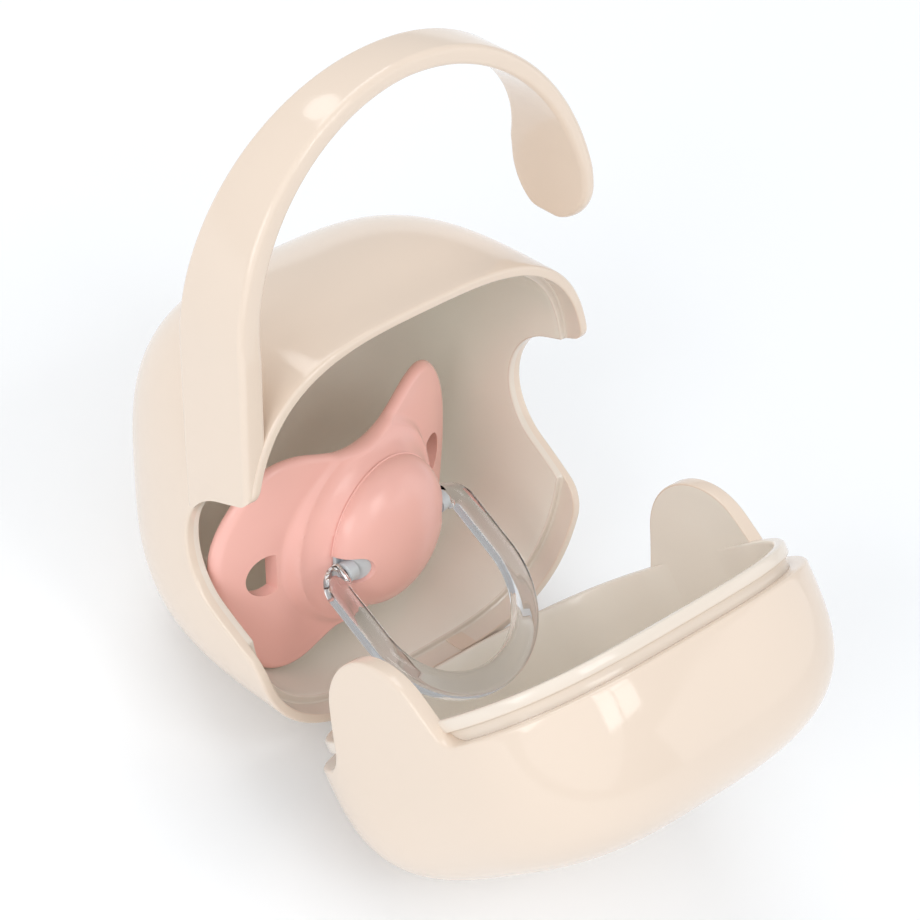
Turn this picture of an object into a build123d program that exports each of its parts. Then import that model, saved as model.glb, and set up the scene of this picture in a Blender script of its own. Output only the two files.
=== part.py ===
from build123d import *
from math import acos, atan2, cos, degrees, hypot, pi, radians, sin, sqrt
import os

# A rounded-cube case for one pacifier: a standing rear shell with an open hook
# handle, a shallow front cover hinged at the bottom, and a pacifier inside.
# Working frame: X across, +Y into the rear shell, +Z up, the parting plane at
# Y = 0 and the outer bottom of the pod at Z = 0. Everything is modelled with the
# cover closed, then the cover is opened and the case is laid on its two pods.

# pod
pod_width = 76.0
pod_height = 75.6
rear_depth = 48.4
cover_depth = 28.6
wall = 2.8
outline_power = 3.2
depth_power = 3.3
cap_angle = 80.0
section_step = 10.0
outline_points = 32

# parting
part_gap = 0.3
fit = 0.3
notch_depth = 16.9
notch_height = 38.5
notch_top_radius = 12.6
upper_flank = 17.4
upper_radius = 3.8
lower_flank = 21.6
lower_radius = 7.5
rabbet_wall = 1.6
rabbet_depth = 4.3
lip_thickness = 1.7
lip_root = 3.0
neck_inset = 0.8
neck_height = 1.8
lip_overlap = 3.0

# hinge
hinge_drop = 2.8
pin_radius = 1.0
knuckle_radius = 2.4
cover_knuckle_half = 7.7
rear_knuckle_length = 10.0
web_reach = 7.0
web_foot = 1.0
web_sink = 1.9

# pose of the open case
open_angle = 52.5

# handle
hook_centre_x = 0.5
hook_centre_z = 79.0
hook_radius = 38.5
strap_bottom = 50.0
root_half = 7.9
apex_half = 4.4
paddle_half = 9.1
root_thick = 4.6
apex_thick = 3.4
paddle_thick = 2.6
root_y = 8.4
apex_y = 8.5
paddle_y = 10.2
paddle_angle = 10.0
hook_end_angle = -8.8
end_sweep_angle = 14.0
strap_corner = 1.1
root_power = 1.3
paddle_power = 2.6

# place of the pacifier in the rear shell
paci_side_gap = 2.5
paci_floor_rise = 24.8
paci_y = 12.6
paci_lean_angle = 1.0
paci_turn_angle = 9.6

# pacifier shield: a butterfly plate bent round an upright cylinder, with a
# raised boss under the knob; each point of its right half is a share of the
# half width and a height
shield_play = 4.8
shield_radius = 68.2
shield_thick = 2.4
shield_form = [(0, 16.3), (0.227, 17.3), (0.467, 20.0), (0.671, 19.9), (0.878, 14.6), (0.997, 6.9),
               (0.987, -2.4), (0.908, -9.7), (0.84, -15.6), (0.737, -19.6), (0.566, -20.7),
               (0.309, -18.1), (0, -17.7)]
vent_inset = 8.5
vent_flat = 1.7
vent_outer = 3.9
vent_height = 7.8
boss_inset = 0.3
boss_spread = 3.8
boss_top_slope = 1.6
boss_foot_slope = 0.5
neck_radius = 5.0
neck_length = 1.6
bulb_radius = 7.0
nipple_reach = 18.5

# pacifier knob, its pivot insert and the ring
knob_radius = 13.7
knob_base = 3.1
knob_rise = 7.7
pivot_rise = 5.6
pivot_drop = 0.5
slot_half = 2.5
slot_inner = 9.0
plug_half = 11.6
plug_recess = 0.8
plug_floor = 0.7
plug_bar_radius = 1.2
pivot_pin_radius = 0.8
pivot_pin_length = 2.4
stub_radius = 1.45
stub_gap = 0.3
ring_width = 4.8
ring_thick = 3.0
ring_edge = 1.3
ring_half = 16.7
ring_side = 13.0
ring_reach = 29.0
ring_corner = 2.7
ring_forward_angle = 50.6

mid = pod_height / 2
hinge_z = -hinge_drop
extent = 4 * pod_width


def outline_face(width, height, y):
    points = []
    for i in range(outline_points):
        t = 2 * pi * i / outline_points
        reach = abs(cos(t) * 2 / width) ** outline_power + abs(sin(t) * 2 / height) ** outline_power
        r = reach ** (-1 / outline_power)
        points.append((r * cos(t), r * sin(t)))
    plane = Plane(origin=(0, y, mid), x_dir=(1, 0, 0), z_dir=(0, -1, 0))
    return plane * make_face(Spline(*points, periodic=True))


def pod(inset):
    faces = []
    count = round(cap_angle / section_step)
    for k in range(-count, count + 1):
        t = radians(abs(k) * section_step)
        scale = cos(t) ** (2 / depth_power)
        along = sin(t) ** (2 / depth_power)
        y = (rear_depth - inset) * along if k > 0 else -(cover_depth - inset) * along
        faces.append(outline_face((pod_width - 2 * inset) * scale, (pod_height - 2 * inset) * scale, y))
    return loft([f.face() for f in faces])


def rim_slab(inset, y0, y1):
    face = outline_face(pod_width - 2 * inset, pod_height - 2 * inset, y1)
    return extrude(face, y1 - y0)


def slab_box(x0, x1, y0, y1, z0, z1):
    box = Box(x1 - x0, y1 - y0, z1 - z0)
    return Pos((x0 + x1) / 2, (y0 + y1) / 2, (z0 + z1) / 2) * box


def crossing_tangent(a, ra, b, rb, turn):
    # tangent points of the line that crosses between two circles
    dx, dy = b[0] - a[0], b[1] - a[1]
    gap = hypot(dx, dy)
    lean = turn * acos((ra + rb) / gap)
    nx = (dx * cos(lean) - dy * sin(lean)) / gap
    ny = (dx * sin(lean) + dy * cos(lean)) / gap
    return (a[0] + ra * nx, a[1] + ra * ny), (b[0] - rb * nx, b[1] - rb * ny)


def arc(centre, radius, start, end):
    a0 = atan2(start[1] - centre[1], start[0] - centre[0])
    a1 = atan2(end[1] - centre[1], end[0] - centre[0])
    sweep = (a1 - a0 + pi) % (2 * pi) - pi
    middle = (centre[0] + radius * cos(a0 + sweep / 2), centre[1] + radius * sin(a0 + sweep / 2))
    return ThreePointArc(start, middle, end)


def cover_side(grow):
    # everything in front of the parting line, bell included, moved out by grow
    top = (notch_depth - notch_top_radius, notch_height)
    up = (upper_radius, notch_height + upper_flank)
    low = (lower_radius, notch_height - lower_flank)
    r_top = notch_top_radius + grow
    r_up = upper_radius - grow
    r_low = lower_radius - grow
    up_a, up_b = crossing_tangent(up, r_up, top, r_top, -1)
    low_a, low_b = crossing_tangent(low, r_low, top, r_top, 1)
    crest = (top[0] + r_top, top[1])
    up_base = (grow, up[1])
    low_base = (grow, low[1])
    edges = [
        Line((grow, extent), up_base),
        arc(up, r_up, up_base, up_a),
        Line(up_a, up_b),
        arc(top, r_top, up_b, crest),
        arc(top, r_top, crest, low_b),
        Line(low_b, low_a),
        arc(low, r_low, low_a, low_base),
        Line(low_base, (grow, -extent)),
        Line((grow, -extent), (-extent, -extent)),
        Line((-extent, -extent), (-extent, extent)),
        Line((-extent, extent), (grow, extent)),
    ]
    return extrude(Plane.YZ * make_face(edges), extent / 2, both=True)


def bell_band(margin):
    z0 = notch_height - lower_flank - margin
    z1 = notch_height + upper_flank + margin
    return slab_box(-extent, extent, -extent, extent, z0, z1)


def tangent_point(centre, radius, point, turn):
    dx, dy = point[0] - centre[0], point[1] - centre[1]
    a = atan2(dy, dx) + turn * acos(radius / hypot(dx, dy))
    return (centre[0] + radius * cos(a), centre[1] + radius * sin(a))


def knuckle(side, x0, x1, bore):
    # barrel on the hinge axis with a web that runs up into the shell
    foot = (side * web_reach, web_foot)
    low = tangent_point((0, hinge_z), knuckle_radius, foot, -side)
    face = side * part_gap / 2
    web = Plane.YZ * make_face(Polyline((0, hinge_z), low, foot, (side * web_reach, web_sink),
                                        (face, web_sink), (face, hinge_z), close=True))
    barrel = Plane.YZ * Circle(knuckle_radius)
    body = extrude(web, x1 - x0) + Pos(0, 0, hinge_z) * extrude(barrel, x1 - x0)
    body -= Pos(0, 0, hinge_z) * extrude(Plane.YZ * Circle(bore), x1 - x0)
    return Pos(x0, 0, 0) * body


outer = pod(0)
inner = pod(wall)
shell_wall = outer - inner

# rear shell
rear_cut = cover_side(part_gap / 2)
rear_shell = shell_wall - rear_cut
rear_start = cover_knuckle_half + fit
for x in (rear_start, -rear_start - rear_knuckle_length):
    rear_shell += knuckle(1, x, x + rear_knuckle_length, pin_radius)
rear_shell -= rim_slab(rabbet_wall, -1, rabbet_depth)

# front cover
front_cover = shell_wall & cover_side(-part_gap / 2)
lip_inset = rabbet_wall + fit
lip_top = rabbet_depth - fit
lip = rim_slab(lip_inset, neck_height, lip_top)
lip += rim_slab(lip_inset + neck_inset, -part_gap, neck_height)
lip += rim_slab(wall - part_gap, -lip_root, -part_gap / 2)
lip -= rim_slab(lip_inset + lip_thickness, -extent / 4, extent / 4)
lip -= bell_band(-lip_overlap)
front_cover += lip
front_cover += knuckle(-1, -cover_knuckle_half, cover_knuckle_half, pin_radius + fit)

pin_half = rear_start + rear_knuckle_length
hinge_pin = Pos(0, 0, hinge_z) * Rot(0, 90, 0) * Cylinder(pin_radius, 2 * pin_half)


def blend(angle, root, apex, paddle):
    # value along the hook: from the root over the apex to the paddle
    if angle >= 90:
        return apex + (root - apex) * ((angle - 90) / 90) ** root_power
    return apex + (paddle - apex) * min(1, (90 - angle) / (90 - paddle_angle)) ** paddle_power


def strap_face(angle, drop):
    half = blend(angle, root_half, apex_half, paddle_half)
    thick = blend(angle, root_thick, apex_thick, paddle_thick)
    y = blend(angle, root_y, apex_y, paddle_y)
    rounding = max(0, (hook_end_angle + end_sweep_angle - angle) / end_sweep_angle)
    half *= sqrt(1 - rounding ** 2)
    t = radians(angle)
    r = hook_radius - thick / 2
    origin = (hook_centre_x + r * cos(t), y, hook_centre_z + r * sin(t) - drop)
    plane = Plane(origin=origin, x_dir=(cos(t), 0, sin(t)), z_dir=(sin(t), 0, -cos(t)))
    corner = min(strap_corner, 0.45 * thick, 0.9 * half)
    return plane * RectangleRounded(thick, 2 * half, corner)


# carry handle
drop = hook_centre_z - strap_bottom
stations = [(180, drop), (180, drop / 2), (180, 0)]
stations += [(a, 0) for a in (165, 150, 135, 120, 105, 90, 75, 60, 45, 30, 18, 10)]
stations += [(hook_end_angle + f * end_sweep_angle, 0) for f in (1.0, 0.65, 0.35, 0.14, 0.04)]
carry_handle = loft([strap_face(a, d).face() for a, d in stations])
carry_handle = carry_handle - outer - rear_cut
carry_handle = max(carry_handle.solids(), key=lambda s: s.volume)

# pacifier, built around the knob with Y = 0 on the front of the shield
inner_half = pod_width / 2 - wall
shield_reach = inner_half - shield_play
front_skin = Pos(0, shield_radius, 0) * Cylinder(shield_radius, extent)
back_skin = Pos(0, shield_radius, 0) * Cylinder(shield_radius - shield_thick, extent)
right_half = [(share * shield_reach, z) for share, z in shield_form]
left_half = [(-x, z) for x, z in reversed(right_half[1:-1])]
shield_edge = Plane.XZ * make_face(Spline(*right_half, *left_half, periodic=True))
boss_top = knob_radius - boss_inset
boss_foot = knob_radius + boss_spread
boss_face = make_face([
    Line((0, -knob_base), (boss_top, -knob_base)),
    Spline((boss_top, -knob_base), (boss_foot, 0), tangents=[(1, boss_top_slope), (1, boss_foot_slope)]),
    Line((boss_foot, 0), (boss_foot, shield_thick)),
    Line((boss_foot, shield_thick), (0, shield_thick)),
    Line((0, shield_thick), (0, -knob_base)),
])
shield = front_skin + revolve(boss_face, Axis.Y) - back_skin
shield &= extrude(shield_edge, shield_radius, both=True)
shield &= slab_box(-extent, extent, -2 * knob_base, shield_radius, -extent, extent)
for side in (-1, 1):
    # an ellipse with a flat on the side toward the knob
    vent = Ellipse(vent_outer, vent_height / 2)
    vent &= Pos(side * (vent_outer - vent_flat) / 2, 0) * Rectangle(vent_outer + vent_flat, vent_height)
    vent = Plane.XZ * Pos(side * (shield_reach - vent_inset), 0) * vent
    shield -= extrude(vent, shield_radius, both=True)
shield -= Rot(90, 0, 0) * Cylinder(neck_radius, extent)

bulb_y = nipple_reach - bulb_radius
neck_front = fit - knob_base
neck_back = shield_thick + neck_length
profile = make_face([
    Line((0, neck_front), (neck_radius, neck_front)),
    Line((neck_radius, neck_front), (neck_radius, neck_back)),
    Spline((neck_radius, neck_back), (bulb_radius, bulb_y), tangents=[(0, 1), (0, 1)]),
    arc((0, bulb_y), bulb_radius, (bulb_radius, bulb_y), (0, nipple_reach)),
    Line((0, nipple_reach), (0, neck_front)),
])
nipple = revolve(profile, Axis.Y)


def dome(inset):
    radius = knob_radius - inset
    rise = knob_rise - inset
    edge = EllipticalCenterArc((0, -knob_base), radius, rise, start_angle=270, arc_size=90)
    face = make_face([edge, Line((radius, -knob_base), (0, -knob_base)),
                      Line((0, -knob_base), (0, -knob_base - rise))])
    return revolve(face, Axis.Y)


def pivot_bar(radius, x0, x1):
    return Pos(x0, -pivot_rise, -pivot_drop) * extrude(Plane.YZ * Circle(radius), x1 - x0)


# a slot in each side of the knob, with the pivot insert that fills it
slot_centre = slot_inner + slot_half
bore = plug_half - pivot_pin_length
axle = pivot_bar(plug_bar_radius, -bore, bore)
knob = dome(0) - axle
plug = axle
for side in (-1, 1):
    opening = Plane.XZ * Pos(side * slot_centre, -pivot_drop) * Circle(slot_half)
    slot = extrude(opening, extent, both=True)
    x0, x1 = sorted((side * slot_centre, side * extent))
    slot += slab_box(x0, x1, -extent, extent, -slot_half - pivot_drop, slot_half - pivot_drop)
    knob -= slot
    block = slot & dome(plug_recess) & slab_box(-plug_half, plug_half, -extent, extent, -extent, extent)
    block += slot & dome(0) & slab_box(-boss_top, boss_top, -knob_base - plug_floor, 0, -extent, extent)
    x0, x1 = sorted((side * bore, side * extent))
    plug += block - pivot_bar(pivot_pin_radius + fit, x0, x1)

# ring, built in the X-Z plane of its own pivot, hanging toward -Z
corner_x = ring_half - ring_corner
ring_path = Wire([
    arc((corner_x, -ring_corner), ring_corner, (corner_x, 0), (ring_half, -ring_corner)),
    Line((ring_half, -ring_corner), (ring_half, -ring_side)),
    EllipticalCenterArc((0, -ring_side), ring_half, ring_reach - ring_side, start_angle=180, arc_size=180),
    Line((-ring_half, -ring_side), (-ring_half, -ring_corner)),
    arc((-corner_x, -ring_corner), ring_corner, (-ring_half, -ring_corner), (-corner_x, 0)),
])
ring_start = Plane(origin=(corner_x, 0, 0), x_dir=(0, 1, 0), z_dir=(1, 0, 0))
ring = sweep(ring_start * RectangleRounded(ring_thick, ring_width, ring_edge), path=Plane.XZ * ring_path)
stub_start = plug_half + stub_gap
for side in (-1, 1):
    x0, x1 = sorted((side * stub_start, side * (corner_x + stub_gap)))
    ring += Pos(x0, 0, 0) * extrude(Plane.YZ * Circle(stub_radius), x1 - x0)
    x0, x1 = sorted((side * (stub_start + stub_gap), side * (stub_start + stub_gap - pivot_pin_length)))
    ring += Pos(x0, 0, 0) * extrude(Plane.YZ * Circle(pivot_pin_radius), x1 - x0)
ring = Pos(0, -pivot_rise, -pivot_drop) * Rot(-ring_forward_angle, 0, 0) * ring

paci_x = shield_reach + paci_side_gap - inner_half
paci_place = Pos(paci_x, paci_y, wall + paci_floor_rise)
paci_place *= Rot(0, -paci_lean_angle, 0) * Rot(0, 0, paci_turn_angle)


# resting tilt: the rear pod and the opened cover touch the same floor line
def reach_down(depth, angle):
    power = depth_power / (depth_power - 1)
    return ((depth * sin(angle)) ** power + (mid * cos(angle)) ** power) ** (1 / power)


def floor_step(tilt):
    rest = radians(open_angle) - tilt
    rear_low = mid * cos(tilt) - reach_down(rear_depth, tilt)
    cover_low = hinge_z * cos(tilt) + (mid - hinge_z) * cos(rest) - reach_down(cover_depth, rest)
    return rear_low - cover_low


low, high = 0.0, radians(open_angle)
for step in range(60):
    tilt = (low + high) / 2
    if floor_step(tilt) > 0:
        low = tilt
    else:
        high = tilt
lay = Rot(-degrees(tilt), 0, 0)
swing = Pos(0, 0, hinge_z) * Rot(open_angle, 0, 0) * Pos(0, 0, -hinge_z)

nodes = {
    "rear_shell": lay * rear_shell,
    "carry_handle": lay * carry_handle,
    "hinge_pin": lay * hinge_pin,
    "front_cover": lay * swing * front_cover,
    "pacifier_shield": lay * paci_place * shield,
    "pacifier_nipple": lay * paci_place * nipple,
    "pacifier_knob": lay * paci_place * knob,
    "pacifier_plug": lay * paci_place * plug,
    "pacifier_ring": lay * paci_place * ring,
}
mesh_tolerance = 0.02
mesh_angle = 0.1
points = [p for shape in nodes.values() for p in shape.tessellate(mesh_tolerance, mesh_angle)[0]]
low_x, high_x = min(p.X for p in points), max(p.X for p in points)
low_y, high_y = min(p.Y for p in points), max(p.Y for p in points)
settle = Pos(-(low_x + high_x) / 2, -(low_y + high_y) / 2, -min(p.Z for p in points))

os.makedirs("parts", exist_ok=True)
for name, shape in nodes.items():
    placed = settle * shape
    placed.label = name
    export_step(placed, f"parts/{name}.step")
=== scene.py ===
import math
import bmesh
import bpy
import numpy as np
from mathutils import Matrix, Vector


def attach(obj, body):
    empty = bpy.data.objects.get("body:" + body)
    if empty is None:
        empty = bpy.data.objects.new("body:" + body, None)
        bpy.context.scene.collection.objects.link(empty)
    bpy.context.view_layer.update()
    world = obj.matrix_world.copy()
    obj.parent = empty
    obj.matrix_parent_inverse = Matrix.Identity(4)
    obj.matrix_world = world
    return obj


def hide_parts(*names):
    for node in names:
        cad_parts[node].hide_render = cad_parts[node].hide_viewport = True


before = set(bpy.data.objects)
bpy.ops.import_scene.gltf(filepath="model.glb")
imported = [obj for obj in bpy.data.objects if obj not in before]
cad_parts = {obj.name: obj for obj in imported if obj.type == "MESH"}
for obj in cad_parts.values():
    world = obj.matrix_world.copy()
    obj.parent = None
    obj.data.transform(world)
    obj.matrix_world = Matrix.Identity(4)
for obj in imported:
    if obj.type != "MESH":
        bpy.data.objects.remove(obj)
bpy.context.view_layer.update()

# An open pacifier case with a hooked strap, and the pacifier that lies in it.
#
# Sizes are in millimetres, in the case's own frame: X across, +Y into the rear pod, +Z up,
# the parting plane at Y = 0 and the closed pod's outer bottom at Z = 0. GAP is each shell's
# distance from the parting line. TILT and SHIFT stand the case on the floor.
MM = 0.001
WIDTH, HEIGHT, WALL = 76.0, 75.6, 2.8
MID = HEIGHT / 2
REAR, FRONT = 48.4, 28.6
OUTLINE_POWER, DEPTH_POWER = 3.2, 3.3
GAP = 0.15
HINGE_Z, OPEN = -2.8, math.radians(52.5)
TILT = math.radians(19.771523)
SHIFT = np.array([0.280346, -2.159156, 7.786710])


def lay(p):
    """case frame to the scene's frame, still in millimetres"""
    p = np.asarray(p, float)
    y = p[..., 1] * math.cos(TILT) + p[..., 2] * math.sin(TILT)
    z = -p[..., 1] * math.sin(TILT) + p[..., 2] * math.cos(TILT)
    return np.stack([p[..., 0], y, z], -1) + SHIFT


def opened(p):
    """closed cover, in the case frame, to the open cover in the scene's frame"""
    p = np.asarray(p, float)
    z = p[..., 2] - HINGE_Z
    y = p[..., 1] * math.cos(OPEN) - z * math.sin(OPEN)
    return lay(np.stack([p[..., 0], y, HINGE_Z + p[..., 1] * math.sin(OPEN) + z * math.cos(OPEN)], -1))


# ---------------------------------------------------------------- pod surface
# a superellipse seen from the front, which narrows as another one towards each pole in Y
NEVER_ZERO = 1e-18


def girth(y, inset):
    """share of the full outline that is left at depth y"""
    depth = np.where(y > 0, REAR, FRONT) - inset
    return (1 - np.clip(np.abs(y) / depth, 0, 1) ** DEPTH_POWER) ** (1 / DEPTH_POWER)


def reach(theta, inset):
    """radius, at an angle from +X, of the full outline moved in by inset"""
    a = np.abs(np.cos(theta) / (WIDTH / 2 - inset)) ** OUTLINE_POWER
    b = np.abs(np.sin(theta) / (HEIGHT / 2 - inset)) ** OUTLINE_POWER
    return (a + b + NEVER_ZERO) ** (-1 / OUTLINE_POWER)


def skin(theta, y, inset):
    """points of the surface that lies inset under the outer one"""
    r = reach(theta, inset) * girth(y, inset)
    return np.stack([r * np.cos(theta), y + 0 * r, MID + r * np.sin(theta)], -1)


# the bell-shaped notch in each side, as three circles in Y-Z: its tip and its two shoulders
TIP_R, UPPER_R, LOWER_R = 12.6, 3.8, 7.5
NOTCH_DEPTH, NOTCH_Z, UPPER_RISE, LOWER_DROP = 16.9, 38.5, 17.4, 21.6
TIP = np.array([NOTCH_DEPTH - TIP_R, NOTCH_Z])
UPPER = np.array([UPPER_R, NOTCH_Z + UPPER_RISE])
LOWER = np.array([LOWER_R, NOTCH_Z - LOWER_DROP])


def tangent(a, ra, b, rb, turn):
    """where the line that crosses between two circles touches each of them"""
    d = np.subtract(b, a)
    apart = math.hypot(*d)
    lean = turn * math.acos((ra + rb) / apart)
    c, s = math.cos(lean), math.sin(lean)
    n = np.array([d[0] * c - d[1] * s, d[0] * s + d[1] * c]) / apart
    return a + ra * n, b - rb * n


def arc(z, centre, radius, side):
    """Y of a circle at height z, on its +Y side or its -Y side"""
    return centre[0] + side * np.sqrt(np.maximum(radius ** 2 - (z - centre[1]) ** 2, 0))


def straight(z, a, b):
    """Y at height z of the line from a to b"""
    return a[0] + (z - a[1]) / (b[1] - a[1]) * (b[0] - a[0])


def parting(z, grow):
    """Y of the parting line at height z, moved by grow into the rear shell"""
    tip_r, upper_r, lower_r = TIP_R + grow, UPPER_R - grow, LOWER_R - grow
    upper, tip_top = tangent(UPPER, upper_r, TIP, tip_r, -1)
    lower, tip_foot = tangent(LOWER, lower_r, TIP, tip_r, 1)
    y = np.full(np.shape(z), float(grow))
    y = np.where((z < UPPER[1]) & (z >= upper[1]), arc(z, UPPER, upper_r, -1), y)
    y = np.where((z < upper[1]) & (z >= tip_top[1]), straight(z, upper, tip_top), y)
    y = np.where((z < tip_top[1]) & (z >= tip_foot[1]), arc(z, TIP, tip_r, 1), y)
    y = np.where((z < tip_foot[1]) & (z >= lower[1]), straight(z, lower, tip_foot), y)
    return np.where((z < lower[1]) & (z >= LOWER[1]), arc(z, LOWER, lower_r, -1), y)


# the table of lengths along the skin reaches PAST_RIM beyond the parting plane
RIM_PASSES, PAST_RIM, TABLE_POINTS = 8, 20.0, 4001


def rim(theta, inset, grow):
    """Y of the parting line at each angle, by repeated passes, since the skin's height depends on Y"""
    y = np.zeros_like(theta)
    for _ in range(RIM_PASSES):
        y = parting(MID + reach(theta, inset) * girth(y, inset) * np.sin(theta), grow)
    return y


def spread(y0, pole, inset, rows):
    """rows of Y from the rim to the pole, evenly spaced along the surface"""
    low, high = (-PAST_RIM, pole) if pole > 0 else (pole, PAST_RIM)
    t = np.linspace(0, 1, TABLE_POINTS)
    table = low + (high - low) * (0.5 - 0.5 * np.cos(np.pi * t))
    across = girth(table, inset) * WIDTH / 2
    length = np.concatenate([[0], np.cumsum(np.hypot(np.diff(table), np.diff(across)))])
    end = length[-1] if pole > 0 else 0.0
    start = np.interp(y0, table, length)
    return [np.interp(start + (end - start) * k / rows, length, table) for k in range(rows + 1)]


# ---------------------------------------------------------------- mesh helpers
# points closer than this many metres become one
MERGE = 2e-6


def tube_faces(rings, count):
    """quads between closed rings of count points each"""
    faces = []
    for ring in range(rings - 1):
        for c in range(count):
            here, beside = ring * count + c, ring * count + (c + 1) % count
            faces.append((here, beside, beside + count, here + count))
    return faces


def capped(rings, count):
    """the same with a face on the first ring and on the last"""
    last = (rings - 1) * count
    return tube_faces(rings, count) + [tuple(range(count))[::-1], tuple(range(last, last + count))]


def link(name, data):
    """a new object in the scene"""
    obj = bpy.data.objects.new(name, data)
    bpy.context.scene.collection.objects.link(obj)
    return obj


def raw(name, points, faces, kinds=None):
    """a mesh object from points in the scene's frame, in millimetres; kinds are the faces' material
    numbers, and only the long skins that have them leave slivers to dissolve"""
    mesh = bpy.data.meshes.new(name)
    mesh.from_pydata([tuple(v) for v in np.asarray(points) * MM], [], faces)
    if kinds is not None:
        mesh.polygons.foreach_set("material_index", kinds)
    bm = bmesh.new()
    bm.from_mesh(mesh)
    bmesh.ops.remove_doubles(bm, verts=bm.verts, dist=MERGE)
    if kinds is not None:
        bmesh.ops.dissolve_degenerate(bm, edges=bm.edges, dist=MERGE)
    bmesh.ops.recalc_face_normals(bm, faces=bm.faces)
    bm.to_mesh(mesh)
    bm.free()
    return link(name, mesh)


def dress(obj, body, node, *plastics, slot="shell_plastic", angle=38):
    """shade a piece, give it its plastics, hang it on its body, and hide the CAD part it stands for"""
    mesh = obj.data
    mesh.shade_smooth()
    mesh.set_sharp_from_angle(angle=math.radians(angle))
    kinds = [face.material_index for face in mesh.polygons]
    mesh.materials.clear()
    for plastic in plastics:
        mesh.materials.append(plastic)
    mesh.polygons.foreach_set("material_index", kinds)
    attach(obj, body)
    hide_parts(node)


def boolean(obj, cutter, how="DIFFERENCE"):
    """cut, join or intersect obj with cutter, which is used up"""
    mod = obj.modifiers.new("cut", "BOOLEAN")
    mod.operation = how
    mod.solver = "EXACT"
    mod.object = cutter
    bpy.context.view_layer.update()
    graph = bpy.context.evaluated_depsgraph_get()
    mesh = bpy.data.meshes.new_from_object(obj.evaluated_get(graph))
    obj.modifiers.clear()
    old = obj.data
    obj.data = mesh
    bpy.data.meshes.remove(old)
    bpy.data.objects.remove(cutter)


def prism(name, loop, x0, x1, place):
    """a Y-Z loop pushed from x0 to x1"""
    points = [(x, y, z) for x in (x0, x1) for y, z in loop]
    return raw(name, place(np.array(points)), capped(2, len(loop)))


def soften(obj, width, segments, angle, near=None, within=6.0):
    """bevel the edges sharper than angle, or only those that start within some millimetres of the
    points near"""
    bm = bmesh.new()
    bm.from_mesh(obj.data)
    sharp = [e for e in bm.edges if len(e.link_faces) == 2 and e.calc_face_angle(0) > math.radians(angle)]
    if near is not None:
        spots = [Vector(p * MM) for p in near]
        sharp = [e for e in sharp if min((e.verts[0].co - p).length for p in spots) < within * MM]
    bmesh.ops.bevel(bm, geom=sharp, offset=width * MM, segments=segments, profile=0.5, affect="EDGES",
                    clamp_overlap=True)
    bm.to_mesh(obj.data)
    bm.free()


def circle(count):
    """count angles, evenly round a circle"""
    return np.radians(np.linspace(0, 360, count, endpoint=False))


def rounded_bar(half_u, half_v, corner, steps):
    """a rectangle's loop with round corners of so many steps each"""
    loop = []
    for su, sv, start in ((1, 1, 0), (-1, 1, 90), (-1, -1, 180), (1, -1, 270)):
        for k in range(steps + 1):
            t = math.radians(start + 90 * k / steps)
            u = su * (half_u - corner) + corner * math.cos(t)
            v = sv * (half_v - corner) + corner * math.sin(t)
            loop.append((u, v))
    return loop


# ---------------------------------------------------------------- materials
# noise over the object: wide patches shift colour and roughness, and a fine grain is a bump
PATCH_SCALE, PATCH_DETAIL = 45, 3
GRAIN_SCALE, GRAIN_DETAIL, GRAIN_DEPTH = 2400, 2, 0.0001


def noise(tree, scale, detail):
    """a noise texture node"""
    node = tree.nodes.new("ShaderNodeTexNoise")
    node.inputs["Scale"].default_value = scale
    node.inputs["Detail"].default_value = detail
    return node


def material(name, color, rough, spread_by=0.04, grain=0.02, mottle=0.03, **sockets):
    """a material whose roughness varies by spread_by, and its colour by the share mottle"""
    mat = bpy.data.materials.new(name)
    mat.use_nodes = True
    tree = mat.node_tree
    bsdf = tree.nodes["Principled BSDF"]
    bsdf.inputs["Base Color"].default_value = (*color, 1)
    for key, value in sockets.items():
        bsdf.inputs[key.replace("_", " ")].default_value = value
    coord = tree.nodes.new("ShaderNodeTexCoord")
    wide = noise(tree, PATCH_SCALE, PATCH_DETAIL)
    fine = noise(tree, GRAIN_SCALE, GRAIN_DETAIL)
    tree.links.new(coord.outputs["Object"], wide.inputs["Vector"])
    tree.links.new(coord.outputs["Object"], fine.inputs["Vector"])
    tint = tree.nodes.new("ShaderNodeMix")
    tint.data_type = "RGBA"
    tint.inputs["A"].default_value = (*[c * (1 - mottle) for c in color], 1)
    tint.inputs["B"].default_value = (*[min(1, c * (1 + mottle)) for c in color], 1)
    tree.links.new(wide.outputs["Fac"], tint.inputs["Factor"])
    tree.links.new(tint.outputs["Result"], bsdf.inputs["Base Color"])
    level = tree.nodes.new("ShaderNodeMapRange")
    level.inputs["To Min"].default_value = max(0.0, rough - spread_by)
    level.inputs["To Max"].default_value = rough + spread_by
    tree.links.new(wide.outputs["Fac"], level.inputs["Value"])
    tree.links.new(level.outputs["Result"], bsdf.inputs["Roughness"])
    bump = tree.nodes.new("ShaderNodeBump")
    bump.inputs["Strength"].default_value = grain
    bump.inputs["Distance"].default_value = GRAIN_DEPTH
    tree.links.new(fine.outputs["Fac"], bump.inputs["Height"])
    tree.links.new(bump.outputs["Normal"], bsdf.inputs["Normal"])
    return mat


def shell_plastic(name, color, rough):
    """a moulded plastic of the case, nearly even in colour"""
    return material(name, color, rough, grain=0.03, mottle=0.012)


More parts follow.
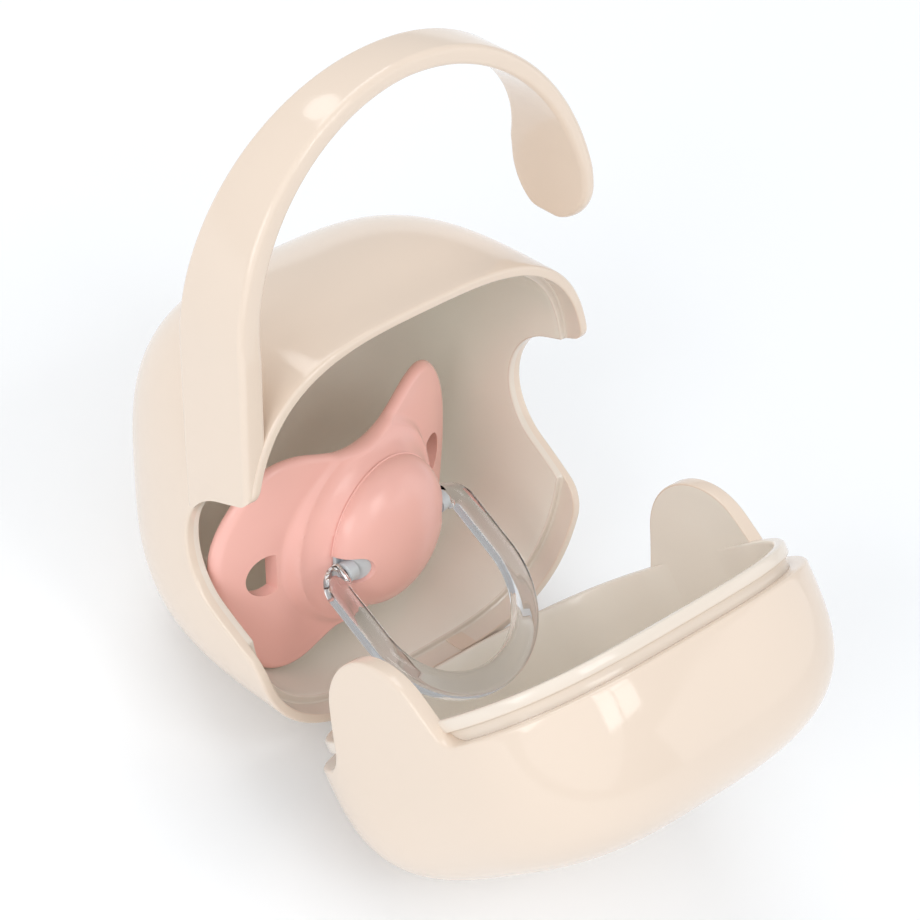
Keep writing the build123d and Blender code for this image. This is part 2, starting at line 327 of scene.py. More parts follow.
cream = shell_plastic("cream_gloss_plastic", (0.80, 0.672, 0.56), 0.085)
# the next three are paler, greyer copies of the one cream plastic: painted light that brightens the pods'
# insides, rabbets and lip, and takes out the warm tint of the light bounced in them
case_inside_painted_light = shell_plastic("case_inside_plastic", (0.905, 0.885, 0.795), 0.16)
lip_cream_painted_light = shell_plastic("rim_band_painted_light_plastic", (0.81, 0.725, 0.635), 0.12)
cover_inside_painted_light = shell_plastic("cover_inside_plastic", (0.90, 0.85, 0.765), 0.16)
pink = material("pink_satin_plastic", (0.93, 0.515, 0.455), 0.25, grain=0.02, mottle=0.015)
grey = material("grey_plug_plastic", (0.62, 0.66, 0.69), 0.3, grain=0.05)
steel = material("hinge_pin_steel", (0.62, 0.62, 0.63), 0.32, grain=0.08, Metallic=1.0)
silicone = material("nipple_silicone", (0.84, 0.76, 0.66), 0.42, grain=0.05, Subsurface_Weight=0.3,
                    Subsurface_Scale=0.004, Subsurface_Radius=(1.0, 0.7, 0.5))
clear = material("clear_ring_plastic", (0.86, 0.87, 0.885), 0.02, spread_by=0.01, grain=0.02, mottle=0.01,
                 Transmission_Weight=1.0, IOR=1.47)

# ---------------------------------------------------------------- the two pods
# each pod is one closed skin of rows round the case: outside, rim, and inside; SEAM keeps the
# columns of points off the axes
COLS, SEAM = 600, 1e-4
THETA = np.linspace(0, 2 * math.pi, COLS, endpoint=False) + SEAM
QUARTER = np.radians(np.linspace(0, 90, 5))
REAR_ROWS, REAR_INNER_ROWS = 60, 56
COVER_ROWS, COVER_INNER_ROWS = 56, 50
OUTER_ROUND, INNER_ROUND = 0.55, 0.3
RABBET_WALL, RABBET_FLOOR, RABBET_FILLET = 1.6, 4.3, 0.25


def outer_rows(depth, count):
    """the outside, from its pole to the end of its rounded edge; depth is below 0 on the cover"""
    side = math.copysign(1, depth)
    edge = rim(THETA, 0, side * (GAP + OUTER_ROUND))
    rows = [skin(THETA, y, 0) for y in reversed(spread(edge, depth, 0, count)[1:])]
    for a in QUARTER:
        inset = OUTER_ROUND * (1 - math.cos(a))
        y = rim(THETA, inset, side * (GAP + OUTER_ROUND * (1 - math.sin(a))))
        rows.append(skin(THETA, y, inset))
    return rows


def inner_rows(edge, pole, count):
    """the inside, from below its rounded edge to its pole"""
    return [skin(THETA, y, WALL) for y in spread(edge, pole, WALL, count)[1:]]


def pod(name, rows, first_rabbet, first_inner, inside, body, node, place):
    """a pod from its rows; the rabbet's strips and the inside get paler copies of the cream plastic,
    painted light
    """
    strips = np.zeros(len(rows) - 1, int)
    strips[first_rabbet:first_inner] = 2
    strips[first_inner:] = 1
    kinds = np.repeat(strips, COLS).tolist()
    obj = raw(name, place(np.concatenate(rows)), tube_faces(len(rows), COLS), kinds)
    dress(obj, body, node, cream, inside, lip_cream_painted_light)


def rear_shell():
    rows = outer_rows(REAR, REAR_ROWS)
    for a in QUARTER:
        inset = RABBET_WALL - INNER_ROUND + INNER_ROUND * math.sin(a)
        y = rim(THETA, inset, GAP)
        rounding = np.minimum(INNER_ROUND * (1 - math.cos(a)), np.maximum(RABBET_FLOOR - y, 0))
        rows.append(skin(THETA, y + rounding, inset))
    first_rabbet = len(rows) - 1
    y = np.maximum(rim(THETA, RABBET_WALL, GAP), RABBET_FLOOR - RABBET_FILLET)
    rows.append(skin(THETA, y, RABBET_WALL))
    inset = RABBET_WALL + RABBET_FILLET
    rows.append(skin(THETA, np.maximum(rim(THETA, inset, GAP), RABBET_FLOOR), inset))
    for a in QUARTER:
        inset = WALL - INNER_ROUND + INNER_ROUND * math.sin(a)
        rise = INNER_ROUND * (1 - math.cos(a))
        rows.append(skin(THETA, np.maximum(rim(THETA, inset, GAP + rise), RABBET_FLOOR + rise), inset))
    first_inner = len(rows) - 1
    edge = np.maximum(rim(THETA, WALL, GAP + INNER_ROUND), RABBET_FLOOR + INNER_ROUND)
    rows += inner_rows(edge, REAR - WALL, REAR_INNER_ROWS)
    pod("rear_shell_skin", rows, first_rabbet, first_inner, case_inside_painted_light, "case", "rear_shell", lay)


def front_cover():
    rows = outer_rows(-FRONT, COVER_ROWS)
    for a in QUARTER:
        inset = WALL - INNER_ROUND + INNER_ROUND * math.sin(a)
        rows.append(skin(THETA, rim(THETA, inset, -GAP - INNER_ROUND * (1 - math.cos(a))), inset))
    first_inner = len(rows) - 1
    rows += inner_rows(rim(THETA, WALL, -GAP - INNER_ROUND), WALL - FRONT, COVER_INNER_ROWS)
    pod("front_cover_skin", rows, first_inner, first_inner, cover_inside_painted_light, "cover", "front_cover", opened)


rear_shell()
front_cover()

# ---------------------------------------------------------------- the cover's beaded lip
# its section, as steps inward from the lip's outer face and Y: up the neck, round the bead,
# down the inner face, which tapers into the cover's wall, and back inside that wall
LIP_INSET = RABBET_WALL + 2 * GAP
LIP_SECTION = [
    (0.8, -0.5), (0.8, 0.6), (0.8, 1.55), (0.7, 1.72), (0.5, 1.8),
    (0.25, 1.83), (0.08, 1.93), (0, 2.1), (0, 2.8), (0, 3.45), (0.08, 3.75), (0.28, 3.94), (0.55, 4.0),
    (1.2, 4.0), (1.48, 3.93), (1.64, 3.75), (1.7, 3.5), (1.7, 1.5), (1.68, -1.0),
    (1.5, -3.5), (1.22, -6.0), (0.93, -9.0), (0.8, -9.1), (0.8, -4.0)]
LIP_STATIONS, LIP_TABLE = 320, 4000
INNER_FACE, FLUSH = 0.9, 0.85
# heights at which a run ends, sunk, and from which it has its full section
TOP_END, TOP_FULL = MID + 2.0, UPPER[1] - UPPER_R
BOTTOM_END, BOTTOM_FULL = LOWER[1] + 12.0, LOWER[1] + 4.0


def lip_angle(z, half):
    """the angle at which the lip is at height z, on the right of the pod's top or bottom half"""
    low, high = sorted((0, half * math.pi / 2))
    t = np.linspace(low, high, LIP_TABLE)
    return float(np.interp(z, MID + reach(t, LIP_INSET) * np.sin(t), t))


def lip_run(name, half, end_z, full_z):
    """a run of the lip over the pod's top, or along its bottom for a half of -1; from the height
    full_z on, its inner face sinks until it is flush with the ear at end_z"""
    middle = half * math.pi / 2
    end, full = lip_angle(end_z, half), lip_angle(full_z, half)
    t = np.linspace(end, 2 * middle - end, LIP_STATIONS)
    fade = (np.abs(t - middle) - abs(full - middle)) / (abs(end - middle) - abs(full - middle))
    fade = np.clip(fade, 0, 1)
    fade = fade * fade * (3 - 2 * fade)
    points = []
    for angle, sunk in zip(t, fade):
        for step, y in LIP_SECTION:
            if step >= INNER_FACE:
                step = FLUSH + (step - FLUSH) * (1 - sunk)
            points.append(skin(np.array(angle), np.array(y), LIP_INSET + step))
    steps = [step for step, y in LIP_SECTION]
    inner = [int(min(a, b) > INNER_FACE) for a, b in zip(steps, steps[1:] + steps[:1])]
    kinds = inner * (LIP_STATIONS - 1) + [1, 1]
    obj = raw(name, opened(np.array(points)), capped(LIP_STATIONS, len(steps)), kinds)
    # the lip and its inner faces in paler copies of the cream plastic: painted light
    dress(obj, "cover", "front_cover", lip_cream_painted_light, cover_inside_painted_light, angle=50)


lip_run("cover_lip_top", 1, TOP_END, TOP_FULL)
lip_run("cover_lip_bottom", -1, BOTTOM_END, BOTTOM_FULL)

# ---------------------------------------------------------------- hinge
# knuckles round the pin, each on a web whose foot is under its own pod; X at their ends,
# and Z of the web's neck and of its root in the pod's wall
KNUCKLE_R, KNUCKLE_WRAP, KNUCKLE_STEPS = 2.4, math.radians(250), 40
KNUCKLE_FOOT = np.array([7.0, 1.0])
KNUCKLE_NECK, KNUCKLE_ROOT = -0.6, 1.9
KNUCKLE_OUT, KNUCKLE_IN = 18.0, 8.0
COVER_KNUCKLE = KNUCKLE_IN - 2 * GAP


def knuckle(name, side, x0, x1, body, node, place):
    """a knuckle from x0 to x1 on the rear shell, or on the cover for a side of -1"""
    foot = KNUCKLE_FOOT * [side, 1]
    d = foot - [0, HINGE_Z]
    start = math.atan2(d[1], d[0]) - side * math.acos(KNUCKLE_R / math.hypot(*d))
    loop = [(foot[0], foot[1])]
    for k in range(KNUCKLE_STEPS + 1):
        a = start - side * KNUCKLE_WRAP * k / KNUCKLE_STEPS
        loop.append((KNUCKLE_R * math.cos(a), HINGE_Z + KNUCKLE_R * math.sin(a)))
    loop += [(side * GAP, KNUCKLE_NECK), (side * GAP, KNUCKLE_ROOT), (foot[0], KNUCKLE_ROOT)]
    obj = prism(name, loop, x0, x1, place)
    soften(obj, width=0.25, segments=2, angle=50)
    dress(obj, body, node, cream)


knuckle("hinge_knuckle_left", 1, -KNUCKLE_OUT, -KNUCKLE_IN, "case", "rear_shell", lay)
knuckle("hinge_knuckle_right", 1, KNUCKLE_IN, KNUCKLE_OUT, "case", "rear_shell", lay)
knuckle("hinge_knuckle_cover", -1, -COVER_KNUCKLE, COVER_KNUCKLE, "cover", "front_cover", opened)

# ---------------------------------------------------------------- carry handle
# the strap climbs straight up the left side, then bends about HOOK in X-Z to its free paddle;
# angles are degrees from +X, and each triple of sizes is at the root, the apex and the paddle
HOOK = np.array([0.5, 79.0])
HOOK_R, HOOK_END, END_SWEEP = 38.5, -8.8, 14.0
STRAP_HALF, STRAP_THICK, STRAP_Y = (7.9, 4.4, 9.1), (4.6, 3.4, 2.6), (8.4, 8.5, 10.2)
ROOT_POWER, PADDLE_POWER, PADDLE_SWEEP = 1.3, 2.6, 80
STRAP_CORNER, CORNER_STEPS, THICK_SHARE, HALF_SHARE = 1.15, 6, 0.48, 0.9
LEAST = 1e-6
ROOT_LENGTH, ROOT_TOP = 33, 72
SINK, SINK_FROM = 0.22, 20
ROOT_DEEP = 1.0
ROOT_STEPS, ARC_STEPS, END_STEPS, END_FROM = 30, 130, 26, 8
CUT_X, CUT_Y, CUT_BELOW, CUT_ABOVE, CUT_STEPS = (-50, -20), -30.0, 2, 6, 160


def along_hook(angle, root, apex, paddle):
    """a size of the strap at an angle of its arc"""
    if angle >= 90:
        return apex + (root - apex) * ((angle - 90) / 90) ** ROOT_POWER
    return apex + (paddle - apex) * min(1, (90 - angle) / PADDLE_SWEEP) ** PADDLE_POWER


def strap_ring(angle, drop):
    """the strap's section at an angle of its arc, or that far straight down from the arc's left end"""
    half, thick, y = (along_hook(angle, *sizes) for sizes in (STRAP_HALF, STRAP_THICK, STRAP_Y))
    end = max(0.0, (HOOK_END + END_SWEEP - angle) / END_SWEEP)
    half *= math.sqrt(max(1 - end ** 2, LEAST))
    left = max(0.0, math.radians(angle - HOOK_END) * HOOK_R)
    r = STRAP_CORNER
    if left < r:
        thick = 2 * (thick / 2 - r + math.sqrt(max(r * r - (r - left) ** 2, LEAST)))
    r = min(r, THICK_SHARE * thick, HALF_SHARE * half)
    sink = SINK * max(0.0, min(1.0, (drop - SINK_FROM) / (ROOT_LENGTH - SINK_FROM)))
    middle_r = HOOK_R - thick / 2 - sink
    c, s = math.cos(math.radians(angle)), math.sin(math.radians(angle))
    return [(HOOK[0] + (middle_r + u) * c, y + v, HOOK[1] + (middle_r + u) * s - drop)
            for u, v in rounded_bar(thick / 2, half, r, CORNER_STEPS)]


def keep_shallow(points):
    """bring the root's points that lie deeper than ROOT_DEEP under the pod's skin out to that depth"""
    rise = np.abs(points[:, 2] - MID)
    share = girth(points[:, 1], ROOT_DEEP)
    tall = (HEIGHT / 2 - ROOT_DEEP) * share
    left = 1 - np.clip(rise / tall, 0, 1) ** OUTLINE_POWER
    wide = (WIDTH / 2 - ROOT_DEEP) * share * left ** (1 / OUTLINE_POWER)
    deeper = (points[:, 0] < 0) & (rise < tall) & (-points[:, 0] < wide) & (points[:, 2] < ROOT_TOP)
    points[:, 0] = np.where(deeper, -wide, points[:, 0])


def notch_cutter():
    """what lies in front of the rear shell's edge, on the left"""
    heights = np.linspace(LOWER[1] - CUT_BELOW, UPPER[1] + CUT_ABOVE, CUT_STEPS)
    loop = [(float(parting(np.array(z), GAP)), float(z)) for z in heights]
    loop += [(CUT_Y, float(heights[-1])), (CUT_Y, float(heights[0]))]
    return prism("notch_cutter", loop, *CUT_X, lay)


def carry_handle():
    stations = [(180, drop) for drop in np.linspace(ROOT_LENGTH, 0, ROOT_STEPS)]
    stations += [(angle, 0) for angle in np.linspace(180, END_FROM, ARC_STEPS)[1:]]
    for b in np.radians(np.linspace(0, 90, END_STEPS))[1:]:
        stations.append((HOOK_END + (END_FROM - HOOK_END) * (1 - math.sin(b)), 0))
    rings = [strap_ring(angle, drop) for angle, drop in stations]
    points = np.array([p for ring in rings for p in ring])
    keep_shallow(points)
    strap = raw("carry_handle_strap", lay(points), capped(len(rings), len(rings[0])))
    boolean(strap, notch_cutter())
    dress(strap, "case", "carry_handle", cream)


carry_handle()

# ---------------------------------------------------------------- pacifier
# its own frame: X across, +Y to the back, +Z up, the middle of the shield's bent face at 0
INNER_HALF, SIDE_ROOM, LEFT_ROOM = WIDTH / 2 - WALL, 4.8, 2.5
SHIELD_REACH = INNER_HALF - SIDE_ROOM
PACIFIER_Y, PACIFIER_RISE = 12.6, 24.8
PACIFIER_AT = np.array([SHIELD_REACH + LEFT_ROOM - INNER_HALF, PACIFIER_Y, WALL + PACIFIER_RISE])
LEAN, TURN = math.radians(1.0), math.radians(9.6)
SHIELD_R, SHIELD_T = 68.2, 2.4
KNOB_R, KNOB_BASE, KNOB_RISE = 13.7, 3.1, 7.7
PIVOT_RISE, PIVOT_DROP = 5.6, 0.5
LATHE_POINTS, TUBE_POINTS, VENT_POINTS = 200, 48, 72


def seated(p):
    """pacifier frame to the scene's frame: turned about Z, then leaned to the left"""
    p = np.asarray(p, float)
    x = p[..., 0] * math.cos(TURN) - p[..., 1] * math.sin(TURN)
    y = p[..., 0] * math.sin(TURN) + p[..., 1] * math.cos(TURN)
    z = p[..., 2]
    leaned = [x * math.cos(LEAN) - z * math.sin(LEAN), y, x * math.sin(LEAN) + z * math.cos(LEAN)]
    return lay(np.stack(leaned, -1) + PACIFIER_AT)


def pushed(loop, y0, y1):
    """points and faces of an X-Z loop of the pacifier frame, pushed from y0 to y1"""
    points = np.array([(x, y, z) for y in (y0, y1) for x, z in loop])
    return seated(points), capped(2, len(loop))


def lathe(name, profile):
    """a profile of (radius, Y) turned about the pacifier's own Y"""
    a = circle(LATHE_POINTS)
    rings = [np.stack([r * np.cos(a), np.full_like(a, y), r * np.sin(a)], 1) for r, y in profile]
    return raw(name, seated(np.concatenate(rings)), capped(len(rings), len(a)))


def closed_curve(ctrl, count):
    """count points of the closed cubic curve that passes through ctrl"""
    k = len(ctrl)
    seg = np.hypot(*(np.roll(ctrl, -1, 0) - ctrl).T)
    a = np.zeros((k, k))
    rhs = np.zeros((k, 2))
    for i in range(k):
        h0, h1 = seg[i - 1], seg[i]
        a[i, i - 1], a[i, i], a[i, (i + 1) % k] = h0, 2 * (h0 + h1), h1
        rhs[i] = 6 * ((ctrl[(i + 1) % k] - ctrl[i]) / h1 - (ctrl[i] - ctrl[i - 1]) / h0)
    second = np.linalg.solve(a, rhs)
    total = np.concatenate([[0], np.cumsum(seg)])
    curve = []
    for s in np.linspace(0, total[-1], count, endpoint=False):
        i = min(int(np.searchsorted(total, s, "right")) - 1, k - 1)
        j = (i + 1) % k
        h, t = seg[i], s - total[i]
        point = (second[i] * (h - t) ** 3 + second[j] * t ** 3) / (6 * h)
        point += (ctrl[i] / h - second[i] * h / 6) * (h - t)
        point += (ctrl[j] / h - second[j] * h / 6) * t
        curve.append(point)
    return np.array(curve)


# ---------------------------------------------------------------- shield
# the right half of its outline from top to bottom, as shares of its reach and as Z
SHIELD_FORM = np.array([
    (0, 16.3), (0.227, 17.3), (0.467, 20.0), (0.671, 19.9), (0.878, 14.6), (0.997, 6.9), (0.987, -2.4),
    (0.908, -9.7), (0.84, -15.6), (0.737, -19.6), (0.566, -20.7), (0.309, -18.1), (0, -17.7)])
OUTLINE_POINTS, FRONT_RINGS, EDGE_STEPS, BACK_RINGS = 480, 90, 14, 30
BOSS_START, BOSS_SPREAD, BOSS_FALL, BOSS_POWER, BOSS_BLEND = KNOB_R - 0.3, 4.1, 3.3, 1.7, 2.2
BEHIND_PLATE = [(18.2, 1.2), (19.0, 3.2), (60.0, 120.0)]
VENT_AT, VENT_FLAT, VENT_OUTER, VENT_H = SHIELD_REACH - 8.5, 1.7, 3.9, 7.8
THROUGH_PLATE = (-5.0, 30.0)


def boss_profile():
    """radius and Y of the boss under the knob: flat top, flank, and on behind the plate"""
    t = np.linspace(0, 1, 40)
    flank = np.stack([BOSS_START + BOSS_SPREAD * t, BOSS_FALL * (1 - (1 - t) ** BOSS_POWER) - KNOB_BASE], 1)
    return np.concatenate([[(0.0, -KNOB_BASE)], flank, BEHIND_PLATE])


BOSS = boss_profile()


def bent_face(u, radius):
    """Y of the shield's bent face of that radius"""
    return SHIELD_R - np.sqrt(radius * radius - u * u)


def front_face(u, v):
    """Y of the shield's front, with the boss blended into it"""
    plate = bent_face(u, SHIELD_R)
    boss = np.interp(np.hypot(u, v), BOSS[:, 0], BOSS[:, 1])
    near = np.clip(0.5 + 0.5 * (plate - boss) / BOSS_BLEND, 0, 1)
    return plate * (1 - near) + boss * near - BOSS_BLEND * near * (1 - near)


def vent_loop(side):
    """a D-shaped vent, flat towards the knob"""
    loop = []
    for a in circle(VENT_POINTS):
        u = max(VENT_OUTER * math.cos(a), -VENT_FLAT)
        loop.append((side * (VENT_AT + u), side * VENT_H / 2 * math.sin(a)))
    return loop


def shield_row(q, y):
    """a row of the shield from its X-Z points and their Y"""
    return np.stack([q[:, 0], y, q[:, 1]], 1)


def shield():
    half = SHIELD_FORM * [SHIELD_REACH, 1]
    outline = closed_curve(np.concatenate([half, half[-2:0:-1] * [-1, 1]]), OUTLINE_POINTS)
    along = np.roll(outline, -1, 0) - np.roll(outline, 1, 0)
    normal = np.stack([-along[:, 1], along[:, 0]], 1) / np.hypot(*along.T)[:, None]
    edge = SHIELD_T / 2
    core = outline - normal * edge
    rows = []
    for s in np.linspace(0, 1, FRONT_RINGS + 1)[1:]:
        q = core * s
        rows.append(shield_row(q, front_face(q[:, 0], q[:, 1])))
    front = front_face(core[:, 0], core[:, 1])
    back = bent_face(core[:, 0], SHIELD_R - SHIELD_T)
    for a in np.radians(np.linspace(-90, 90, EDGE_STEPS + 1))[1:-1]:
        q = core + normal * edge * math.cos(a)
        lean_by = core[:, 0] / SHIELD_R * normal[:, 0] * edge * math.cos(a)
        y = (front + back) / 2 + (back - front) / 2 * math.sin(a) + lean_by
        rows.append(shield_row(q, y))
    for s in np.linspace(1, 0, BACK_RINGS + 1)[:-1]:
        q = core * s
        rows.append(shield_row(q, bent_face(q[:, 0], SHIELD_R - SHIELD_T)))
    plate = raw("pacifier_shield_plate", seated(np.concatenate(rows)), capped(len(rows), OUTLINE_POINTS))
    for side in (-1, 1):
        boolean(plate, raw("vent_cutter", *pushed(vent_loop(side), *THROUGH_PLATE)))
    vents = seated([(side * VENT_AT, bent_face(VENT_AT, SHIELD_R), 0.0) for side in (-1, 1)])
    soften(plate, width=0.4, segments=4, angle=50, near=vents)
    dress(plate, "pacifier", "pacifier_shield", pink, slot="pink_plastic")


shield()

# ---------------------------------------------------------------- knob and plug
# a domed button on a short skirt, with a slot in each side; a grey plug in each slot, of a
# block under the dome, a low step and a collar, carries the ring's pivot
KNOB_SKIRT, KNOB_LEDGE, KNOB_EDGE, KNOB_FOOT = 0.32, 0.2, 0.08, 0.1
DOME_INSET = 0.8
SLOT_HALF, SLOT_CENTRE, SLOT_END, SLOT_FIT = 2.5, 11.5, 20.0, 0.02
THROUGH_KNOB = (-20.0, 5.0)
BLOCK_END, BLOCK_FRONT, BLOCK_BACK = 11.75, -9.0, -KNOB_BASE - 0.01
STEP_END, STEP_T = 13.1, 0.7
COLLAR = ((11.5, 1.9), (13.35, 1.9), (13.52, 1.7))


def dome(radius, base, rise, start, count):
    """a dome's profile as (radius, Y), from start degrees above its base down to it"""
    angles = np.radians(np.linspace(start, 0, count))
    return [(radius * math.cos(b), base - rise * math.sin(b)) for b in angles]


def knob_dome():
    skirt = -KNOB_BASE - KNOB_SKIRT
    profile = dome(KNOB_R - KNOB_LEDGE, skirt, KNOB_RISE - KNOB_SKIRT, 90, 48)
    profile += [(KNOB_R - 0.75 * KNOB_EDGE, skirt + 0.25 * KNOB_EDGE), (KNOB_R, skirt + KNOB_EDGE),
                (KNOB_R, -KNOB_BASE - KNOB_EDGE), (KNOB_R - KNOB_FOOT, -KNOB_BASE),
                (KNOB_R - DOME_INSET, -KNOB_BASE), (0.0, -KNOB_BASE)]
    return lathe("pacifier_knob_dome", profile)


def slot_loop(side, end, shrink=0.0):
    """the slot's X-Z loop, from its round inner end out to X = end"""
    width = SLOT_HALF - shrink
    loop = [(side * end, -width - PIVOT_DROP)]
    for t in np.radians(np.linspace(0, 180, 31)):
        loop.append((side * (SLOT_CENTRE - width * math.sin(t)), -PIVOT_DROP - width * math.cos(t)))
    loop.append((side * end, width - PIVOT_DROP))
    return loop[::side]


def cross_tube(sizes, side, rise, drop):
    """points and faces of a tube along X, at Y = -rise and Z = -drop, from pairs of X and radius"""
    a = circle(TUBE_POINTS)
    rings = [np.stack([np.full_like(a, side * x), r * np.cos(a) - rise, r * np.sin(a) - drop], 1)
             for x, r in sizes]
    return np.concatenate(rings), capped(len(rings), len(a))


def plug(side, word):
    """the plug's three pieces in one slot"""
    loop = slot_loop(side, BLOCK_END, SLOT_FIT)
    block = raw(f"pacifier_plug_{word}", *pushed(loop, BLOCK_FRONT, BLOCK_BACK))
    inner_r = KNOB_R - DOME_INSET
    profile = dome(inner_r, -KNOB_BASE, KNOB_RISE - DOME_INSET, 89, 40)
    boolean(block, lathe("dome_cutter", profile + [(inner_r, 0.0)]), "INTERSECT")
    soften(block, width=0.3, segments=3, angle=45)
    dress(block, "pacifier", "pacifier_plug", grey, slot="plug_plastic", angle=45)
    points, faces = cross_tube(COLLAR, side, PIVOT_RISE, PIVOT_DROP)
    collar = raw(f"pacifier_plug_collar_{word}", seated(points), faces)
    dress(collar, "pacifier", "pacifier_plug", grey, slot="plug_plastic", angle=45)
    loop = slot_loop(side, STEP_END, SLOT_FIT)
    step = raw(f"pacifier_plug_step_{word}", *pushed(loop, -KNOB_BASE - STEP_T, -KNOB_BASE))
    soften(step, width=0.15, segments=2, angle=45)
    dress(step, "pacifier", "pacifier_plug", grey, slot="plug_plastic", angle=45)


knob = knob_dome()
for side, word in ((-1, "left"), (1, "right")):
    boolean(knob, raw("slot_cutter", *pushed(slot_loop(side, SLOT_END), *THROUGH_KNOB)))
    plug(side, word)
soften(knob, width=0.3, segments=3, angle=55)
dress(knob, "pacifier", "pacifier_knob", pink, slot="pink_plastic", angle=50)

# ---------------------------------------------------------------- pull ring
# a clear bar bent to a U, swung forward on the knob's pivot; its ends turn in to the pivot's stubs
FORWARD = math.radians(50.6)
RING_HALF, RING_SIDE, RING_REACH, RING_BEND = 16.7, 13.0, 29.0, 2.7
BAR_HALF, BAR_SWELL, BAR_DEPTH, BAR_CORNER, BAR_STEPS = 2.25, 0.25, 1.5, 1.25, 8
BEND_POINTS, LEG_POINTS, FOOT_POINTS = 48, 14, 181
STUB = ((13.62, 1.3), (13.72, 1.42), (14.8, 1.42))


def swung(p):
    """ring frame, with the pivot at 0 and the ring hanging down, to the scene's frame"""
    p = np.asarray(p, float)
    y = p[..., 1] * math.cos(FORWARD) + p[..., 2] * math.sin(FORWARD)
    z = -p[..., 1] * math.sin(FORWARD) + p[..., 2] * math.cos(FORWARD)
    return seated(np.stack([p[..., 0], y - PIVOT_RISE, z - PIVOT_DROP], -1))


def ring_path():
    """the bar's middle line in X-Z, from the end of one bend over to the other"""
    bend = [(RING_HALF - RING_BEND + RING_BEND * math.sin(t), -RING_BEND + RING_BEND * math.cos(t))
            for t in np.radians(np.linspace(0, 90, BEND_POINTS))]
    leg = [(RING_HALF, z) for z in np.linspace(-RING_BEND, -RING_SIDE, LEG_POINTS)[1:-1]]
    foot = [(RING_HALF * math.cos(t), -RING_SIDE - (RING_REACH - RING_SIDE) * math.sin(t))
            for t in np.radians(np.linspace(0, 180, FOOT_POINTS))]
    left = [(-x, z) for x, z in (bend + leg)[::-1]]
    return np.array(bend + leg + foot + left)


def pull_ring():
    """the bar, a little wider towards the foot of the U, joined to its two stubs"""
    path = ring_path()
    d = np.gradient(path, axis=0)
    d /= np.hypot(*d.T)[:, None]
    rows = []
    for (x, z), (dx, dz) in zip(path, d):
        low = max(0.0, (-z - RING_SIDE) / (RING_REACH - RING_SIDE))
        bar = rounded_bar(BAR_HALF + BAR_SWELL * low, BAR_DEPTH, BAR_CORNER, BAR_STEPS)
        rows.append(np.array([(x + dz * u, v, z - dx * u) for u, v in bar]))
    ring = raw("pacifier_pull_ring", swung(np.concatenate(rows)), capped(len(rows), len(rows[0])))
    for side in (-1, 1):
        points, faces = cross_tube(STUB, side, 0, 0)
        boolean(ring, raw("stub", swung(points), faces), "UNION")
    dress(ring, "ring", "pacifier_ring", clear, slot="clear_plastic", angle=60)


pull_ring()

# the pin and the nipple keep their CAD shape
for node, mat in (("hinge_pin", steel), ("pacifier_nipple", silicone)):
    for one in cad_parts[node].material_slots:
        one.material = mat

# ---------------------------------------------------------------- camera
# it looks at AIM in the case frame, from that far off, with the view slid right and up
CAMERA_TURN, CAMERA_RISE, CAMERA_ROLL = math.radians(-43.09), math.radians(34.15), math.radians(0.28)
AIM, SLIDE_RIGHT, SLIDE_UP, CAMERA_OFF = np.array([0, 0, 35.0]), 5.342, 8.605, 563.1
FOCAL_PIXELS, PICTURE_PIXELS, SENSOR = 3389.8, 920, 36
CLIP_START, CLIP_END = 0.01, 50


def matrix(x, y, z, at):
    """a matrix for a camera or lamp with these axes, at a place in metres"""
    m = np.eye(4)
    m[:3, 0], m[:3, 1], m[:3, 2], m[:3, 3] = x, y, z, at
    return Matrix(m.tolist())


def camera():
    turn, rise, roll = CAMERA_TURN, CAMERA_RISE, CAMERA_ROLL
    right = np.array([math.cos(turn), math.sin(turn), 0.0])
    back = np.array([math.sin(turn) * math.cos(rise), -math.cos(turn) * math.cos(rise), math.sin(rise)])
    up = np.cross(back, right)
    right, up = right * math.cos(roll) + up * math.sin(roll), up * math.cos(roll) - right * math.sin(roll)
    place = AIM + right * SLIDE_RIGHT + up * SLIDE_UP + back * CAMERA_OFF
    cam = link("camera", bpy.data.cameras.new("camera"))
    cam.data.sensor_width = SENSOR
    cam.data.lens = FOCAL_PIXELS / PICTURE_PIXELS * SENSOR
    cam.data.clip_start = CLIP_START
    cam.data.clip_end = CLIP_END
    cam.matrix_world = matrix(*[lay(v) - lay(np.zeros(3)) for v in (right, up, back)], lay(place) * MM)
    bpy.context.scene.camera = cam


camera()

# ---------------------------------------------------------------- floor and surroundings
FLOOR_HALF, FLOOR_DROP = 3, 0.0001
SURROUND_LIGHT, SURROUND_SEEN = 0.5, 1.0


def floor():
    """a pale matt floor, just under the case, with a little light of its own"""
    mesh = bpy.data.meshes.new("floor")
    corners = ((-1, -1), (1, -1), (1, 1), (-1, 1))
    mesh.from_pydata([(x * FLOOR_HALF, y * FLOOR_HALF, 0) for x, y in corners], [], [(0, 1, 2, 3)])
    obj = link("floor", mesh)
    obj.location.z = -FLOOR_DROP
    ground = bpy.data.materials.new("floor_white")
    ground.use_nodes = True
    matt = ground.node_tree.nodes["Principled BSDF"]
    matt.inputs["Base Color"].default_value = (0.85, 0.87, 0.89, 1)
    matt.inputs["Roughness"].default_value = 0.9
    matt.inputs["Specular IOR Level"].default_value = 0.0
    matt.inputs["Emission Color"].default_value = (1, 1, 1, 1)
    matt.inputs["Emission Strength"].default_value = 0.08
    mesh.materials.append(ground)


def surroundings():
    """a white surround, at full strength for the camera and weaker as a light"""
    world = bpy.data.worlds.new("studio")
    bpy.context.scene.world = world
    world.use_nodes = True
    tree = world.node_tree
    backdrop = tree.nodes["Background"]
    backdrop.inputs["Color"].default_value = (0.97, 0.985, 1.0, 1)
    rays = tree.nodes.new("ShaderNodeLightPath")
    level = tree.nodes.new("ShaderNodeMapRange")
    level.inputs["To Min"].default_value = SURROUND_LIGHT
    level.inputs["To Max"].default_value = SURROUND_SEEN
    tree.links.new(rays.outputs["Is Camera Ray"], level.inputs["Value"])
    tree.links.new(level.outputs["Result"], backdrop.inputs["Strength"])


floor()
surroundings()

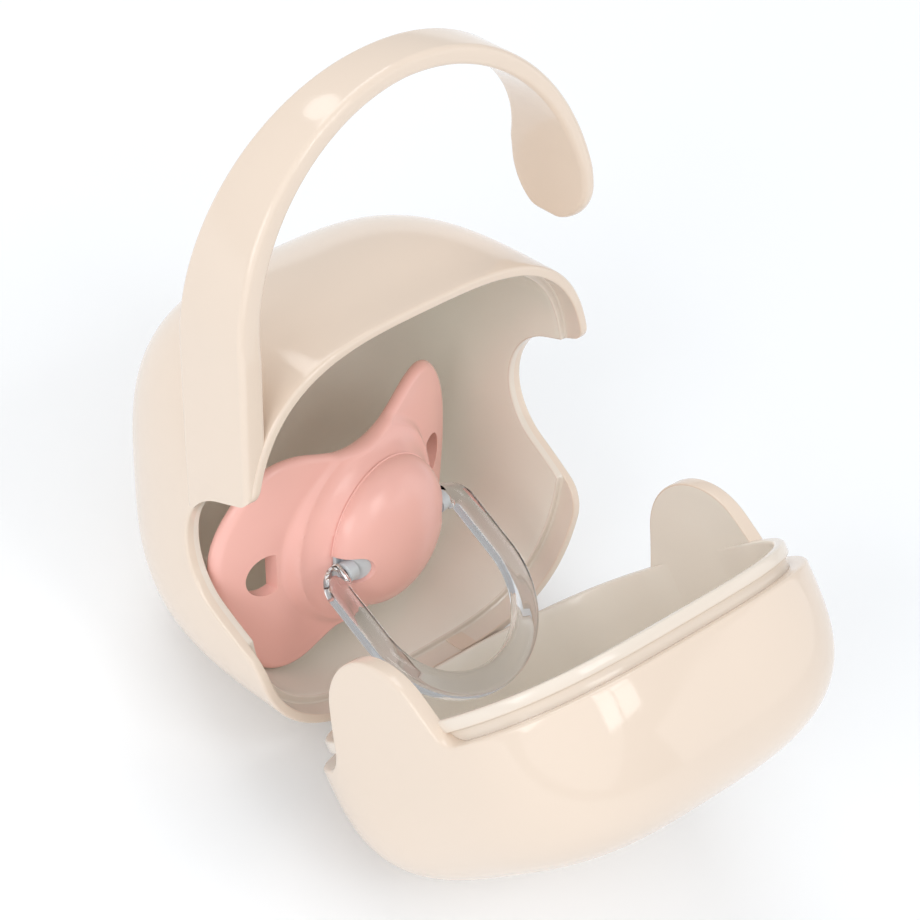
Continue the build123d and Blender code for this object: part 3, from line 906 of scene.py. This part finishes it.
# ---------------------------------------------------------------- lamps, in metres and watts
MIDDLE = np.array([0.0, 0.0, 0.06])
LAMPS = (
    # name, azimuth, elevation, distance, width, height, power
    ("key_left", -40, 40, 1.6, 2.2, 2.0, 9.0),
    ("fill_right", 52, 14, 1.6, 1.6, 1.2, 5.0),
    ("side_left", -86, 30, 1.3, 0.8, 0.6, 4.6),
    ("back", 168, 52, 1.3, 0.9, 0.7, 5.0))
PATCH_TURN, PATCH_RISE, PATCH_OFF, PATCH_AIM = 181, 32.5, 1.0, (-0.022, 0.024, 0.076)
PATCH_W, PATCH_H, PATCH_POWER = 0.22, 0.15, 0.24
WINDOW_TURN, WINDOW_RISE, WINDOW_OFF = 10, 52.5, 1.2
PANE_W, PANE_H, PANE_GAP, PANE_POWER = 0.21, 0.14, 0.03, 0.35


def toward(azimuth, elevation, distance):
    """a point that far from the object's middle; azimuth 0 is straight in front"""
    az, el = math.radians(azimuth), math.radians(elevation)
    way = np.array([math.sin(az) * math.cos(el), -math.cos(az) * math.cos(el), math.sin(el)])
    return MIDDLE + distance * way


def softbox(name, at, aim, width, height, power, shape="RECTANGLE"):
    """an area lamp at a place, turned to aim"""
    data = bpy.data.lights.new(name, "AREA")
    data.shape = shape
    data.size, data.size_y, data.energy = width, height, power
    z = np.subtract(at, aim)
    z = z / np.linalg.norm(z)
    x = np.cross((0, 0, 1), z)
    x = x / np.linalg.norm(x)
    link(name, data).matrix_world = matrix(x, np.cross(z, x), z, at)


def window():
    """a window of six panes, for the glossy plastics to reflect"""
    centre = toward(WINDOW_TURN, WINDOW_RISE, WINDOW_OFF)
    turn = math.radians(WINDOW_TURN)
    across = np.array([math.cos(turn), math.sin(turn), 0.0])
    upward = np.cross((centre - MIDDLE) / WINDOW_OFF, across)
    for column in range(2):
        for row in range(3):
            side = (column - 0.5) * (PANE_W + PANE_GAP)
            rise = (row - 1) * (PANE_H + PANE_GAP)
            at = centre + across * side + upward * rise
            softbox(f"window_{column}_{row}", at, at - (centre - MIDDLE), PANE_W, PANE_H, PANE_POWER)


for name, azimuth, elevation, distance, width, height, power in LAMPS:
    softbox(name, toward(azimuth, elevation, distance), MIDDLE, width, height, power)
# a small oval lamp behind, for the patch of light on the pod's top
patch_at = toward(PATCH_TURN, PATCH_RISE, PATCH_OFF)
softbox("patch_behind", patch_at, PATCH_AIM, PATCH_W, PATCH_H, PATCH_POWER, "ELLIPSE")
window()

bpy.context.scene.view_settings.view_transform = "Standard"
